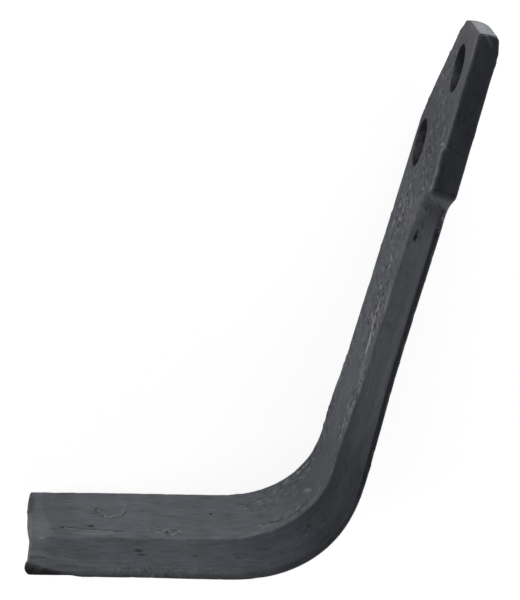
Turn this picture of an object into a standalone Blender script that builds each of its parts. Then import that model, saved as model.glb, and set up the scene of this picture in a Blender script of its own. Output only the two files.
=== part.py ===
"""Rotary tiller blade: one forged bar, drilled at its head, bevelled along one edge and bent into an L.

The bar is a loft. Its cross-section is drawn in two coordinates, depth (0 on the inner face, the one inside
the bend, growing outwards) and width (0 on the back edge, growing towards the cutting edge). The section
follows the inner face, and its place is the distance along that face from the start of the bend: negative up
the shank, positive round the bend and down the leg. Sizes are in millimetres, and the mesh is in metres.

World frame: X is the outward normal of the shank, Y runs up the shank, Z runs from the back edge up to the
cutting edge. The origin is on the outer face, midway between the two bolt holes, and the blade lies on its
back edge.
"""
import math

import bmesh
import bpy
from mathutils import Matrix, Vector

MM = 0.001

# The bar
THICKNESS = 8.0
NECK_WIDTH = 44.6
BEND_WIDTH = 51.5
LEG_WIDTH = 50.2
FLAT_WIDTH = 37.0
NECK_BLUNT_EDGE = 1.9
LEG_BLUNT_EDGE = 3.8

# Lengths and the bend
SHANK_LENGTH = 139.2
BEND_LENGTH = 53.5
BEND_ANGLE = math.radians(76.5)
BEND_SWELL = 0.7
SWELL_FROM = -20.0
SWELL_TO = 18.0
LEG_LENGTH = 53.4
LEG_END_SLANT = 1.9
LEG_END_SLANT_WIDTH = 15.0
LEG_NOSE = 1.5
LEG_NOSE_WIDTH = 9.0
TIP_BLUNT_EDGE = 7.4
TIP_BLUNT_LENGTH = 15.0

# The head: one side tapers to a narrow end, the other side runs down to a shoulder
SHOULDER_WIDTH = 52.0
HEAD_END_WIDTH = 47.6
HEAD_TIP_WIDTH = 23.2
HEAD_TAPER_LENGTH = 42.0
HEAD_TAPER_CROWN = 1.2
HEAD_END_SLANT = 2.8
HEAD_END_CROWN = 0.6
HEAD_END_DROOP = 0.7
DUBBED_DEPTH = 1.1
DUBBED_LENGTH = 4.2
HEAD_TO_SHOULDER = 48.6
SHOULDER_LENGTH = 9.5
SHOULDER_SCOOP = 1.6
RIDGE_RUNOUT = 21.0
RIDGE_RUNOUT_POWER = 3.5
HEAD_TO_STEP = 35.2
STEP_LENGTH = 1.2
STEP_SWELL = 0.8

# The bolt holes
HOLE_DIAMETER = 14.5
HOLE_TO_HEAD_END = 15.4
HOLE_TO_BACK_EDGE = 11.2
HOLE_SPACING_ALONG = 31.5
HOLE_SPACING_ACROSS = 22.5
HOLE_OVERSHOOT = 4.0
HOLE_SEGMENTS = 48

# Rounding of the edges
EDGE_ROUND = 0.8
RIDGE_ROUND = 2.0
BEVEL_FOOT_ROUND = 0.6
RIDGE_LAND = 18.0
CORNER_STEPS = 3
END_ROUND_STEPS = 3

# Where the cutting edge changes from the neck's form to the leg's, as distances along the inner face
NECK_EASES_FROM = -40.0
NECK_EASES_TO = 20.0
LEG_EASES_TO = 80.0

BEND_CHORDS = 240
STEEL_COLOUR = (0.085, 0.088, 0.095, 1.0)
STEEL_ROUGHNESS = 0.55
STEEL_METALLIC = 0.25

# Places that follow from the sizes above
SHOULDER_HEIGHT = SHANK_LENGTH - HEAD_TO_SHOULDER
STEP_HEIGHT = SHANK_LENGTH - HEAD_TO_STEP
TAPER_HEIGHT = SHANK_LENGTH - HEAD_TAPER_LENGTH
UPPER_HOLE_HEIGHT = SHANK_LENGTH - HOLE_TO_HEAD_END
LOWER_HOLE_HEIGHT = UPPER_HOLE_HEIGHT - HOLE_SPACING_ALONG
UPPER_HOLE_WIDTH = HOLE_TO_BACK_EDGE + HOLE_SPACING_ACROSS
HOLES_MIDDLE_HEIGHT = (UPPER_HOLE_HEIGHT + LOWER_HOLE_HEIGHT) / 2
HOLES_MIDDLE_WIDTH = (UPPER_HOLE_WIDTH + HOLE_TO_BACK_EDGE) / 2
HEAD_SLANT_HEIGHT = UPPER_HOLE_HEIGHT + HOLE_DIAMETER / 2
LEG_SLANT_LENGTH = LEG_LENGTH / 4
TIP_PLACE = BEND_LENGTH + LEG_LENGTH


def ease(x):
    """Rises smoothly from 0 to 1 as x goes from 0 to 1."""
    x = min(max(x, 0.0), 1.0)
    return x * x * (3 - 2 * x)


def ramp(value, start, end):
    """Rises in a straight line from 0 to 1 as value goes from start to end."""
    return min(max((value - start) / (end - start), 0.0), 1.0)


def mix(a, b, share):
    return a + (b - a) * share


def heading(place):
    """The angle that the bar has turned through at a place along it."""
    return BEND_ANGLE * ease(place / BEND_LENGTH)


def walk_bend():
    """The inner face round the bend, as (outward, up) points one chord apart."""
    chord = BEND_LENGTH / BEND_CHORDS
    points = [Vector((0.0, 0.0))]
    for i in range(BEND_CHORDS):
        turn = heading((i + 0.5) * chord)
        points.append(points[-1] - chord * Vector((math.sin(turn), math.cos(turn))))
    return points


BEND_PATH = walk_bend()


def inner_face_point(place):
    """The (outward, up) point of the inner face at a place along the bar."""
    if place <= 0:
        return Vector((0.0, -place))
    if place >= BEND_LENGTH:
        direction = Vector((math.sin(BEND_ANGLE), math.cos(BEND_ANGLE)))
        return BEND_PATH[-1] - (place - BEND_LENGTH) * direction
    position = place / BEND_LENGTH * BEND_CHORDS
    index = int(position)
    return BEND_PATH[index].lerp(BEND_PATH[index + 1], position - index)


def world_point(place, depth, width):
    """A point of the bar in the world frame, in metres."""
    turn = heading(place)
    point = inner_face_point(place) + depth * Vector((math.cos(turn), -math.sin(turn)))
    corner = Vector((THICKNESS, HOLES_MIDDLE_HEIGHT, HOLES_MIDDLE_WIDTH))
    return MM * (Vector((point.x, point.y, width)) - corner)


def back_edge(place):
    """The back edge's width position: 0, and rising along the head's crowned taper."""
    share = ramp(-place, TAPER_HEIGHT, SHANK_LENGTH)
    tip = HEAD_END_WIDTH - HEAD_TIP_WIDTH
    return tip * share - 4 * HEAD_TAPER_CROWN * share * (1 - share)


def head_share(place):
    """1 in the head, 0 below the shoulder, and between them along the shoulder."""
    return ease(ramp(-place, SHOULDER_HEIGHT - SHOULDER_LENGTH, SHOULDER_HEIGHT))


def blade_edge(place):
    """The cutting edge's width position below the shoulder."""
    width = mix(NECK_WIDTH, BEND_WIDTH, ease(ramp(place, NECK_EASES_FROM, NECK_EASES_TO)))
    return mix(width, LEG_WIDTH, ease(ramp(place, NECK_EASES_TO, LEG_EASES_TO)))


def front_edge(place):
    """The width position of the edge that faces the soil: the head's side, the shoulder, the cutting edge."""
    head = mix(SHOULDER_WIDTH, HEAD_END_WIDTH, ramp(-place, SHOULDER_HEIGHT, SHANK_LENGTH))
    share = head_share(place)
    scoop = SHOULDER_SCOOP * 4 * share * (1 - share)
    return mix(blade_edge(place), head, share) - scoop


def inner_face_depth(place):
    """The inner face's depth: 0, and a little proud where the bend has squeezed the steel."""
    share = ramp(place, SWELL_FROM, SWELL_TO)
    return -BEND_SWELL * math.sin(math.pi * share) ** 2


def outer_face_depth(place, width):
    """The outer face's depth: the thickness, and a little less at the head's dubbed front corner."""
    front = front_edge(place)
    near_end = ramp(-place, SHANK_LENGTH - DUBBED_LENGTH, SHANK_LENGTH)
    return THICKNESS - DUBBED_DEPTH * near_end * ramp(width, front - RIDGE_LAND, front)


def ridge(place):
    """The ridge between the inner face and the bevel, as (depth, width). In the head it is the corner."""
    swell = STEP_SWELL * ease(ramp(-place, STEP_HEIGHT, STEP_HEIGHT - STEP_LENGTH))
    swell *= ease(ramp(-place, SHOULDER_HEIGHT - SHOULDER_LENGTH, STEP_HEIGHT))
    if -place >= SHOULDER_HEIGHT:
        return Vector((-swell, front_edge(place)))
    runout = ramp(-place, SHOULDER_HEIGHT - RIDGE_RUNOUT, SHOULDER_HEIGHT) ** RIDGE_RUNOUT_POWER
    return Vector((inner_face_depth(place) - swell, mix(FLAT_WIDTH, SHOULDER_WIDTH, runout)))


def bevel_foot(place):
    """Where the bevel meets the blunt cutting edge, as (depth, width). In the shoulder it lies on one facet
    from the ridge to the outer face, and in the head on the flat side. At the tip the bevel runs out."""
    blunt = mix(NECK_BLUNT_EDGE, LEG_BLUNT_EDGE, ease(ramp(place, NECK_EASES_TO, BEND_LENGTH)))
    blunt = mix(blunt, TIP_BLUNT_EDGE, ease(ramp(place, TIP_PLACE - TIP_BLUNT_LENGTH, TIP_PLACE)))
    front = front_edge(place)
    outer = outer_face_depth(place, front)
    start = ridge(place)
    facet_width = mix(start.y, front, (outer - blunt - start.x) / (outer - start.x))
    return Vector((outer - blunt, mix(front, facet_width, ramp(head_share(place), 0.0, 0.5))))


def rounded_corner(before, corner, after, setback):
    """Points of a smooth corner that leaves its two sides a setback away from the corner."""
    start = corner + (before - corner).normalized() * setback
    end = corner + (after - corner).normalized() * setback
    points = []
    for i in range(CORNER_STEPS + 1):
        t = i / CORNER_STEPS
        points.append(start * (1 - t) ** 2 + corner * 2 * t * (1 - t) + end * t ** 2)
    return points


def section(place):
    """The cross-section at a place along the bar, as (depth, width) points in order round it. Some of its
    corners divide a flat side: both faces behind the ridge, and the back edge at half its thickness."""
    back = back_edge(place)
    front = front_edge(place)
    inner = inner_face_depth(place)
    crest = ridge(place)
    outer_corners = [
        Vector((outer_face_depth(place, width), width))
        for width in (front, crest.y - RIDGE_ROUND, crest.y - RIDGE_LAND, back)
    ]
    corners = [
        (Vector((inner, back)), EDGE_ROUND),
        (Vector((inner, crest.y - RIDGE_LAND)), EDGE_ROUND),
        (crest, mix(RIDGE_ROUND, EDGE_ROUND, head_share(place))),
        (bevel_foot(place), BEVEL_FOOT_ROUND),
    ]
    corners += [(corner, EDGE_ROUND) for corner in outer_corners]
    corners.append((Vector((THICKNESS / 2, back)), EDGE_ROUND))
    points = []
    for i, (corner, setback) in enumerate(corners):
        before = corners[i - 1][0]
        after = corners[(i + 1) % len(corners)][0]
        points += rounded_corner(before, corner, after, setback)
    return points


def pulled_in(points, inset):
    """The section with each side moved in by the inset, for the rounded rims of the two ends."""
    depths = [p.x for p in points]
    widths = [p.y for p in points]
    low = Vector((min(depths), min(widths)))
    high = Vector((max(depths), max(widths)))
    middle = (low + high) / 2
    size = high - low
    shrink = Vector((1 - 2 * inset / size.x, 1 - 2 * inset / size.y))
    return [middle + (p - middle) * shrink for p in points]


def head_end_drop(depth, width):
    """How far the head's end lies below its front inner corner. It slants along its width, it is crowned
    through its thickness, and it droops to the outer face."""
    across = ramp(width, HEAD_END_WIDTH, HEAD_END_WIDTH - HEAD_TIP_WIDTH)
    through = ramp(depth, 0.0, THICKNESS)
    crown = HEAD_END_CROWN * 4 * through * (1 - through)
    return HEAD_END_SLANT * across + HEAD_END_DROOP * through ** 6 - crown


def tip_reach(width):
    """How far the leg's end reaches past its back corner. It slants, and has a nose at the cutting edge."""
    nose = ease(ramp(width, LEG_WIDTH - LEG_NOSE_WIDTH, LEG_WIDTH))
    return LEG_END_SLANT * ramp(width, 0.0, LEG_END_SLANT_WIDTH) + LEG_NOSE * nose


def slanted_place(place, depth, width):
    """The place of a point once the slants of the two ends are laid over the straight sections."""
    near_head = ramp(-place, HEAD_SLANT_HEIGHT, SHANK_LENGTH)
    near_tip = ramp(place, TIP_PLACE - LEG_SLANT_LENGTH, TIP_PLACE)
    return place + near_head * head_end_drop(depth, width) + near_tip * tip_reach(width)


def spread(start, end, count):
    """Evenly spaced places from start up to, but not including, end."""
    return [start + (end - start) * i / count for i in range(count)]


def stations():
    """The sections of the loft from the head's end to the leg's tip, as (place, inset) pairs."""
    rims = []
    for i in range(END_ROUND_STEPS):
        angle = math.radians(85) * (1 - i / END_ROUND_STEPS)
        rims.append((EDGE_ROUND * (1 - math.sin(angle)), EDGE_ROUND * (1 - math.cos(angle))))
    head_end = -SHANK_LENGTH
    places = spread(head_end + EDGE_ROUND, head_end + DUBBED_LENGTH, 3)
    places += spread(head_end + DUBBED_LENGTH, -TAPER_HEIGHT, 12)
    places = [p for p in places if p < -STEP_HEIGHT - STEP_LENGTH]
    places += spread(-STEP_HEIGHT, -STEP_HEIGHT + STEP_LENGTH, 3)
    places += spread(-STEP_HEIGHT + STEP_LENGTH, -TAPER_HEIGHT, 3)
    places += spread(-TAPER_HEIGHT, -SHOULDER_HEIGHT, 3)
    places += spread(-SHOULDER_HEIGHT, -SHOULDER_HEIGHT + SHOULDER_LENGTH, 10)
    places += spread(-SHOULDER_HEIGHT + SHOULDER_LENGTH, -SHOULDER_HEIGHT + RIDGE_RUNOUT, 4)
    places += spread(-SHOULDER_HEIGHT + RIDGE_RUNOUT, NECK_EASES_FROM, 3)
    places += spread(NECK_EASES_FROM, 0.0, 6)
    places += spread(0.0, BEND_LENGTH, 24)
    places += spread(BEND_LENGTH, TIP_PLACE - TIP_BLUNT_LENGTH, 6)
    places += spread(TIP_PLACE - TIP_BLUNT_LENGTH, TIP_PLACE - EDGE_ROUND, 6)
    places.append(TIP_PLACE - EDGE_ROUND)
    rows = [(head_end + setback, inset) for setback, inset in rims]
    rows += [(place, 0.0) for place in places]
    rows += [(TIP_PLACE - setback, inset) for setback, inset in reversed(rims)]
    return rows


def ring_points(place, inset):
    """One section's points in the world."""
    points = pulled_in(section(place), inset)
    return [world_point(slanted_place(place, p.x, p.y), p.x, p.y) for p in points]


def blade_mesh():
    """The lofted bar, closed by a face on each end."""
    bm = bmesh.new()
    rings = []
    for place, inset in stations():
        rings.append([bm.verts.new(point) for point in ring_points(place, inset)])
    for upper, lower in zip(rings, rings[1:]):
        for i in range(len(upper)):
            j = (i + 1) % len(upper)
            bm.faces.new((upper[i], upper[j], lower[j], lower[i]))
    bm.faces.new(list(reversed(rings[0])))
    bm.faces.new(rings[-1])
    bmesh.ops.recalc_face_normals(bm, faces=bm.faces[:])
    mesh = bpy.data.meshes.new("tiller_blade")
    bm.to_mesh(mesh)
    bm.free()
    return mesh


def steel():
    """Forged steel under a matt dark paint."""
    material = bpy.data.materials.new("dark_forged_steel")
    material.use_nodes = True
    shader = material.node_tree.nodes["Principled BSDF"]
    shader.inputs["Base Color"].default_value = STEEL_COLOUR
    shader.inputs["Roughness"].default_value = STEEL_ROUGHNESS
    shader.inputs["Metallic"].default_value = STEEL_METALLIC
    return material


def bolt_hole_cutter(name, height, width):
    """A cylinder through the head, square to its faces."""
    bm = bmesh.new()
    radius = HOLE_DIAMETER / 2 * MM
    length = (THICKNESS + 2 * HOLE_OVERSHOOT) * MM
    bmesh.ops.create_cone(
        bm, cap_ends=True, segments=HOLE_SEGMENTS, radius1=radius, radius2=radius, depth=length
    )
    bmesh.ops.rotate(bm, verts=bm.verts[:], cent=(0, 0, 0), matrix=Matrix.Rotation(math.pi / 2, 3, "Y"))
    mesh = bpy.data.meshes.new(name)
    bm.to_mesh(mesh)
    bm.free()
    cutter = bpy.data.objects.new(name, mesh)
    cutter.location = world_point(-height, THICKNESS / 2, width)
    cutter.hide_render = True
    cutter.display_type = "WIRE"
    bpy.context.scene.collection.objects.link(cutter)
    return cutter


def make_blade():
    """The blade with its two bolt holes."""
    mesh = blade_mesh()
    mesh.materials.append(steel())
    mesh.shade_smooth()
    mesh.set_sharp_from_angle(angle=math.radians(30))
    blade = bpy.data.objects.new("tiller_blade", mesh)
    bpy.context.scene.collection.objects.link(blade)
    cutters = (
        bolt_hole_cutter("upper_hole_cutter", UPPER_HOLE_HEIGHT, UPPER_HOLE_WIDTH),
        bolt_hole_cutter("lower_hole_cutter", LOWER_HOLE_HEIGHT, HOLE_TO_BACK_EDGE),
    )
    for cutter in cutters:
        cut = blade.modifiers.new(cutter.name, "BOOLEAN")
        cut.operation = "DIFFERENCE"
        cut.solver = "EXACT"
        cut.object = cutter
    return blade


for item in list(bpy.data.objects):
    bpy.data.objects.remove(item, do_unlink=True)
make_blade()
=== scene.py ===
"""The looks of a rotary tiller blade: one forged and bent steel bar under matt charcoal paint.

The blade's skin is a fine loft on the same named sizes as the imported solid, with the marks of forging,
shearing and wear worked into its mesh. Three coordinates follow the bar, in millimetres. Place runs along the
inner face from the start of the bend, negative up the shank and positive round the bend and down the leg.
Width runs from the back edge to the cutting edge. Depth runs from the inner face to the outer one.
"""
import math

import bpy
import numpy as np
from mathutils import Matrix, Vector


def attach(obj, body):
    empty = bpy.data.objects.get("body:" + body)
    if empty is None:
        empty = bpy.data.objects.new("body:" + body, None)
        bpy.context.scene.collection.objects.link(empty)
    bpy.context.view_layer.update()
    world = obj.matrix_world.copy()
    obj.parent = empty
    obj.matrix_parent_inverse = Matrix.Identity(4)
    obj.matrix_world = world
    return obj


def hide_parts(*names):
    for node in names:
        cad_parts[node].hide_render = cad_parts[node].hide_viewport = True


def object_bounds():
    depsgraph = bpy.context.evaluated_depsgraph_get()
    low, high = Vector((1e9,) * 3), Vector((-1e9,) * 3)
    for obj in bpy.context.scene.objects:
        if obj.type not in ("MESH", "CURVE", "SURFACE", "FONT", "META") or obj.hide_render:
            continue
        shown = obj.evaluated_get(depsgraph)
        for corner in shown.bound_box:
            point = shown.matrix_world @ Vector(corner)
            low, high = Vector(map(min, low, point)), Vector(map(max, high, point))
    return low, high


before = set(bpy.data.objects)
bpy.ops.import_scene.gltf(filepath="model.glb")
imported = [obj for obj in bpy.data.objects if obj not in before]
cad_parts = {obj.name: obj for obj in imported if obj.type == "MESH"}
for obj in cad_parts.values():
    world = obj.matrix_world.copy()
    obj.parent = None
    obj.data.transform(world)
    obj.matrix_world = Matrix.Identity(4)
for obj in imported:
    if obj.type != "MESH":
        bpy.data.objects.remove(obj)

CAD_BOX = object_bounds()
MM = 0.001

# The bar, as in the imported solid
THICKNESS = 8.0
NECK_WIDTH = 44.6
BEND_WIDTH = 51.5
LEG_WIDTH = 50.2
FLAT_WIDTH = 37.0
NECK_BLUNT_EDGE = 1.9
LEG_BLUNT_EDGE = 3.8
SHANK_LENGTH = 139.2
BEND_LENGTH = 53.5
BEND_ANGLE = math.radians(76.5)
BEND_SWELL = 0.7
SWELL_FROM = -20.0
SWELL_TO = 18.0
LEG_LENGTH = 53.4
LEG_END_SLANT = 1.9
LEG_END_SLANT_WIDTH = 15.0
LEG_NOSE = 1.5
LEG_NOSE_WIDTH = 9.0
TIP_BLUNT_EDGE = 7.4
TIP_BLUNT_LENGTH = 15.0

# The head
SHOULDER_WIDTH = 52.0
HEAD_END_WIDTH = 47.6
HEAD_TIP_WIDTH = 23.2
HEAD_TAPER_LENGTH = 42.0
HEAD_TAPER_CROWN = 1.2
HEAD_END_SLANT = 2.8
HEAD_END_CROWN = 0.6
HEAD_END_DROOP = 0.7
HEAD_END_DROOP_POWER = 6
DUBBED_DEPTH = 1.1
DUBBED_LENGTH = 4.2
HEAD_TO_SHOULDER = 48.6
SHOULDER_LENGTH = 9.5
SHOULDER_SCOOP = 1.6
RIDGE_RUNOUT = 21.0
RIDGE_RUNOUT_POWER = 3.5
HEAD_CORNER_ROUND = 1.5
HEAD_TO_STEP = 35.2
STEP_LENGTH = 1.2
STEP_SWELL = 0.8

# The bolt holes
HOLE_DIAMETER = 14.5
HOLE_TO_HEAD_END = 15.4
HOLE_TO_BACK_EDGE = 11.2
HOLE_SPACING_ALONG = 31.5
HOLE_SPACING_ACROSS = 22.5
HOLE_OVERSHOOT = 2.0
HOLE_RIM = 0.25
HOLE_RIM_STEPS = 5
HOLE_SEGMENTS = 96
# Painted shade on the holes' walls, darker towards both ends of each hole along the bar
HOLE_WALL_SHADE = 0.75
HOLE_ROUGHNESS = 0.5
HOLE_SHADE = 0.35
HOLE_END_SHADE = 0.92

# Rounding of the edges
EDGE_ROUND = 0.8
RIDGE_ROUND = 2.0
BEVEL_FOOT_ROUND = 0.6
RIDGE_LAND = 18.0
RIDGE_LAND_POWER = 1.5
NECK_EASES_FROM = -40.0
NECK_EASES_TO = 20.0
LEG_EASES_TO = 80.0
BEND_CHORDS = 240

# The skin's mesh: the sides of its section in order, of which the back edge is the last, how many points each
# side has, and how far apart the sections are
INNER, BEVEL, BLUNT, OUTER = range(4)
SIDE_POINTS = (64, 26, 9, 48, 10)
CORNER_POINTS = 4
SECTION_PITCH = 0.5
RIM_SECTIONS = 4
CAP_LEVELS = (0.12, 0.3, 0.5, 0.7, 0.86)

# Places that follow from the sizes above
SHOULDER_HEIGHT = SHANK_LENGTH - HEAD_TO_SHOULDER
STEP_HEIGHT = SHANK_LENGTH - HEAD_TO_STEP
TAPER_HEIGHT = SHANK_LENGTH - HEAD_TAPER_LENGTH
UPPER_HOLE_HEIGHT = SHANK_LENGTH - HOLE_TO_HEAD_END
LOWER_HOLE_HEIGHT = UPPER_HOLE_HEIGHT - HOLE_SPACING_ALONG
UPPER_HOLE_WIDTH = HOLE_TO_BACK_EDGE + HOLE_SPACING_ACROSS
HOLES_MIDDLE_HEIGHT = (UPPER_HOLE_HEIGHT + LOWER_HOLE_HEIGHT) / 2
HOLES_MIDDLE_WIDTH = (UPPER_HOLE_WIDTH + HOLE_TO_BACK_EDGE) / 2
HOLE_MIDDLES = ((UPPER_HOLE_HEIGHT, UPPER_HOLE_WIDTH), (LOWER_HOLE_HEIGHT, HOLE_TO_BACK_EDGE))
HEAD_SLANT_HEIGHT = UPPER_HOLE_HEIGHT + HOLE_DIAMETER / 2
LEG_SLANT_LENGTH = LEG_LENGTH / 4
TIP_PLACE = BEND_LENGTH + LEG_LENGTH
WORLD_CORNER = np.array((THICKNESS, HOLES_MIDDLE_HEIGHT, HOLES_MIDDLE_WIDTH))

# The marks of forging and wear, in millimetres. A grain is a noise: its strength, how long and how broad its
# cells are, its seed, its layers and how they fade. A spot is a place, a width, a half length and a half
# breadth. A hump is its middle and its reach, and a span is where a change starts and where it ends.
SKIN_INSET = 0.02
HIDDEN_INSET = 0.08
LAYER_OFFSET = 7.3
FORGING_GRAINS = ((0.11, 26.0, 12.0, 11, 2), (0.07, 12.0, 3.4, 23, 3), (0.025, 12.0, 0.9, 31, 2))
CALM_HEAD_SIDE = 0.92
SCALE_HEIGHT = 0.16
SCALE_GRAIN = (1.0, 3.4, 2.6, 41, 4, 0.62)
FINE_SCALE_GRAIN = (1.0, 1.5, 1.3, 47, 2)
SCALE_LEVEL = 0.42
SCALE_BORDER = 0.10
THIN_SCALE = 0.06
OUTER_ROUGHNESS = 0.6
OUTER_GRAIN = (2.0, 30.0, 14.0, 107, 2)
BEVEL_ROUGHNESS = 0.4
EDGE_ROUGHNESS = ((0.55, 72.0, 26.0), (0.95, -80.0, 8.0))
HEAD_END_ROUGHNESS = 0.3

# Rough zones: spots, and how rough they are
ROUGH_GRAIN = (0.35, 5.0, 4.0, 37, 3)
ROUGH_REACH = 1.35
ROUGH_ZONES = (
    (-72.0, 18.0, 17.0, 15.0, 1.0), (-46.0, 24.0, 22.0, 12.0, 1.0), (-16.0, 32.0, 24.0, 7.0, 0.8),
    (-20.0, 4.0, 34.0, 7.0, 0.6), (14.0, 4.0, 24.0, 8.0, 0.7), (33.0, 12.0, 13.0, 9.0, 0.3),
    (26.0, 30.0, 14.0, 5.0, 0.4), (24.0, 42.0, 9.0, 4.0, 0.6), (66.5, 31.0, 5.0, 4.0, 0.9),
    (-112.0, 22.0, 26.0, 22.0, 0.6), (-97.0, 32.0, 14.0, 20.0, 0.9),
)

# Pits: spots, and how deep they are
PIT_GRAIN = (0.55, 1.3, 1.1, 43, 2)
PIT_STEEPNESS = 1.6
PIT_RIM = 0.25
PIT_RIM_STEEPNESS = 6
PIT_RIM_DISTANCE = 1.35
PITS = (
    (90.3, 28.1, 1.5, 1.0, 0.42), (88.9, 29.6, 0.8, 0.7, 0.28), (52.7, 16.7, 0.7, 1.1, 0.35),
    (67.1, 32.9, 0.6, 0.7, 0.25), (64.6, 30.4, 0.5, 0.6, 0.25), (36.4, 8.4, 0.6, 1.0, 0.25),
    (40.9, 11.6, 0.7, 0.9, 0.25), (34.6, 28.9, 0.9, 1.1, 0.35), (24.3, 9.2, 0.6, 1.1, 0.20),
    (17.5, 9.8, 0.6, 1.1, 0.20), (87.6, 13.6, 0.7, 1.0, 0.42), (98.2, 29.4, 0.7, 1.0, 0.46),
    (76.2, 42.7, 1.3, 0.9, 0.28), (75.4, 44.4, 1.5, 0.7, 0.28), (59.0, 45.0, 1.7, 0.6, 0.20),
    (47.2, 43.9, 2.2, 0.6, 0.24), (46.0, 45.8, 1.8, 0.5, 0.20), (24.5, 41.0, 0.8, 0.8, 0.30),
    (25.9, 42.0, 0.6, 0.7, 0.28), (22.6, 45.6, 0.7, 0.7, 0.22), (4.1, 42.3, 2.2, 0.4, 0.26),
    (-73.4, 40.0, 0.9, 0.45, 0.60), (-72.2, 39.6, 0.9, 0.5, 0.60), (-71.0, 39.2, 0.9, 0.45, 0.60),
    (-78.7, 39.5, 1.8, 0.5, 0.20), (-82.5, 40.9, 1.6, 0.5, 0.20), (-75.8, 41.6, 1.4, 0.45, 0.18),
    (-82.0, 42.6, 1.5, 0.4, 0.18),
)

# Raised flecks: spots, how high they are, and how light their tops are, worn and partly a painted glint
FLECK_HEIGHT, FLECK_WEAR_AND_GLINT = 4, 5
FLECK_GRAIN = (0.5, 1.1, 1.1, 59, 2)
FLECK_REACH = 1.6
FLECK_STEEPNESS = 1.1
FLECKS = (
    (66.4, 31.6, 0.5, 0.8, 0.20, 0.26), (67.8, 31.0, 0.6, 0.7, 0.20, 0.22),
    (65.6, 34.2, 0.6, 0.8, 0.22, 0.32), (68.2, 34.0, 0.4, 0.6, 0.15, 0.20),
    (103.6, 37.6, 0.7, 0.8, 0.10, 0.26), (103.6, 1.6, 0.6, 0.7, 0.10, 0.18),
    (52.0, 17.6, 0.5, 0.6, 0.12, 0.18), (37.4, 10.0, 0.6, 0.8, 0.20, 0.14),
    (41.6, 13.6, 0.7, 0.8, 0.20, 0.14), (37.0, 31.0, 0.8, 0.9, 0.20, 0.10),
    (38.4, 29.4, 0.6, 0.8, 0.16, 0.10), (-95.6, 51.0, 3.0, 0.7, 0.04, 0.20),
    (-90.6, 50.6, 0.8, 1.0, 0.08, 0.34),
)

# The lapped scab, a spot whose distances are counted in its own half length and half breadth
SCAB = (83.4, 12.0, 4.4, 8.0)
SCAB_GRAIN = (0.24, 3.0, 3.0, 53, 3)
SCAB_PLATEAU = 0.08
SCAB_EDGE = 1.05
SCAB_EDGE_SOFTNESS = 0.15
SCAB_LIP = 0.24
SCAB_LIP_HUMP = (1.0, 0.07)
SCAB_LIP_SHARES = (0.2, (1.0, SCAB[1] - 3.0, SCAB[1] + 4.0))
SCAB_SHADE_HUMP = (1.13, 0.05)
SCAB_SHADE_SPAN = (SCAB[1], SCAB[1] + 4.0)

# Seams: the line that each follows, then its breadth, its lip's height, its groove's depth and the lip's
# wear, partly a painted glint
SEAM_GRAIN = (0.55, 1.6, 1.6, 61, 2)
SEAM_GAP_GRAIN = (0.35, 2.4, 9.0, 67, 2)
SEAM_FADE = 0.15
SEAM_GROOVE_HUMP = (-1.6, 0.8)
SEAMS = (
    (((98.5, 29.6), (92.0, 31.2), (79.0, 33.2)), 0.55, 0.18, 0.38, 0.22),
    (((96.0, 33.8), (88.0, 34.4), (83.0, 33.8)), 0.6, 0.20, 0.0, 0.22),
    (((-53.5, 34.6), (-48.8, 35.6), (-45.2, 36.2)), 0.9, 0.28, 0.10, 0.45),
    (((-48.5, 22.4), (-46.0, 25.5), (-43.0, 26.6)), 0.9, 0.24, 0.12, 0.35),
    (((-42.0, 24.4), (-38.1, 28.0), (-32.6, 28.9), (-28.2, 29.6)), 1.3, 0.40, 0.20, 0.9),
    (((-28.0, 31.0), (-24.3, 32.5), (-20.5, 35.6), (-17.0, 35.0)), 0.9, 0.32, 0.25, 0.35),
    (((-27.0, 26.6), (-22.5, 29.0), (-18.0, 30.6)), 0.9, 0.26, 0.18, 0.18),
    (((-12.6, 31.6), (-9.8, 34.2), (-5.5, 33.0), (-1.0, 32.6)), 0.9, 0.30, 0.15, 0.25),
    (((-13.4, 27.0), (-8.6, 28.6), (-4.0, 29.4)), 0.8, 0.20, 0.12, 0.12),
    (((15.7, 30.2), (18.8, 33.2), (21.0, 32.6)), 0.8, 0.30, 0.18, 0.22),
    (((22.4, 32.4), (24.3, 31.8), (27.0, 32.4), (30.1, 32.2)), 1.0, 0.34, 0.26, 0.16),
    (((29.6, 31.0), (33.0, 31.6), (36.6, 29.4)), 0.9, 0.26, 0.22, 0.12),
    (((44.9, 9.4), (40.9, 11.0), (36.4, 8.6)), 0.4, 0.12, 0.22, 0.10),
    (((30.0, 13.0), (27.0, 9.6), (24.0, 10.4)), 0.4, 0.12, 0.22, 0.12),
    (((22.0, 19.8), (19.6, 25.2)), 0.75, 0.30, 0.10, 0.42),
    (((-103.5, 45.8), (-105.0, 51.2)), 0.38, 0.08, 0.05, 0.60),
)

# The ridge, the edges, the leg's end and nose, and the lines of the shoulder's groove and the forging step,
# each with its place on the inner face and its slope through the bar
CREST_GRAINS = ((0.4, 5.0, 1.0, 3, 1), (0.22, 1.6, 1.0, 4, 1))
RIDGE_GRAIN = (0.5, 3.0, 1.0, 71, 3)
RIDGE_LIP = 0.07
RIDGE_LIP_HUMP = (-0.9, 0.8)
BEND_LIP = 0.14
BEND_LIP_HUMP = (26.0, 16.0)
BEND_RIDGE_SHIFT = 2.4
BEND_RIDGE_HUMP = (29.0, 24.0)
SHOULDER_RIDGE_SHIFT = 2.6
EDGE_NICK = 0.08
NICK_GRAIN = (1.0, 2.6, 2.6, 83, 3)
NICK_LEVEL = 0.12
NICK_BORDER = 0.35
TIP_ROLLOVER = 0.10
TIP_ROLLOVER_LENGTH = 4.2
TIP_SLANT_FROM = -12.0
TIP_HOLLOW = 0.25
TIP_HOLLOW_HUMP = (24.0, 17.0)
BURRS = ((15.0, 0.5), (37.8, 0.55))
BURR_REACH = 1.9
BURR_SPAN = (3.0, 0.5)
NOSE_LUMP = 1.1
NOSE_LUMP_HUMP = (5.4, 3.2)
NOSE_SETBACK = 0.4
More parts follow.
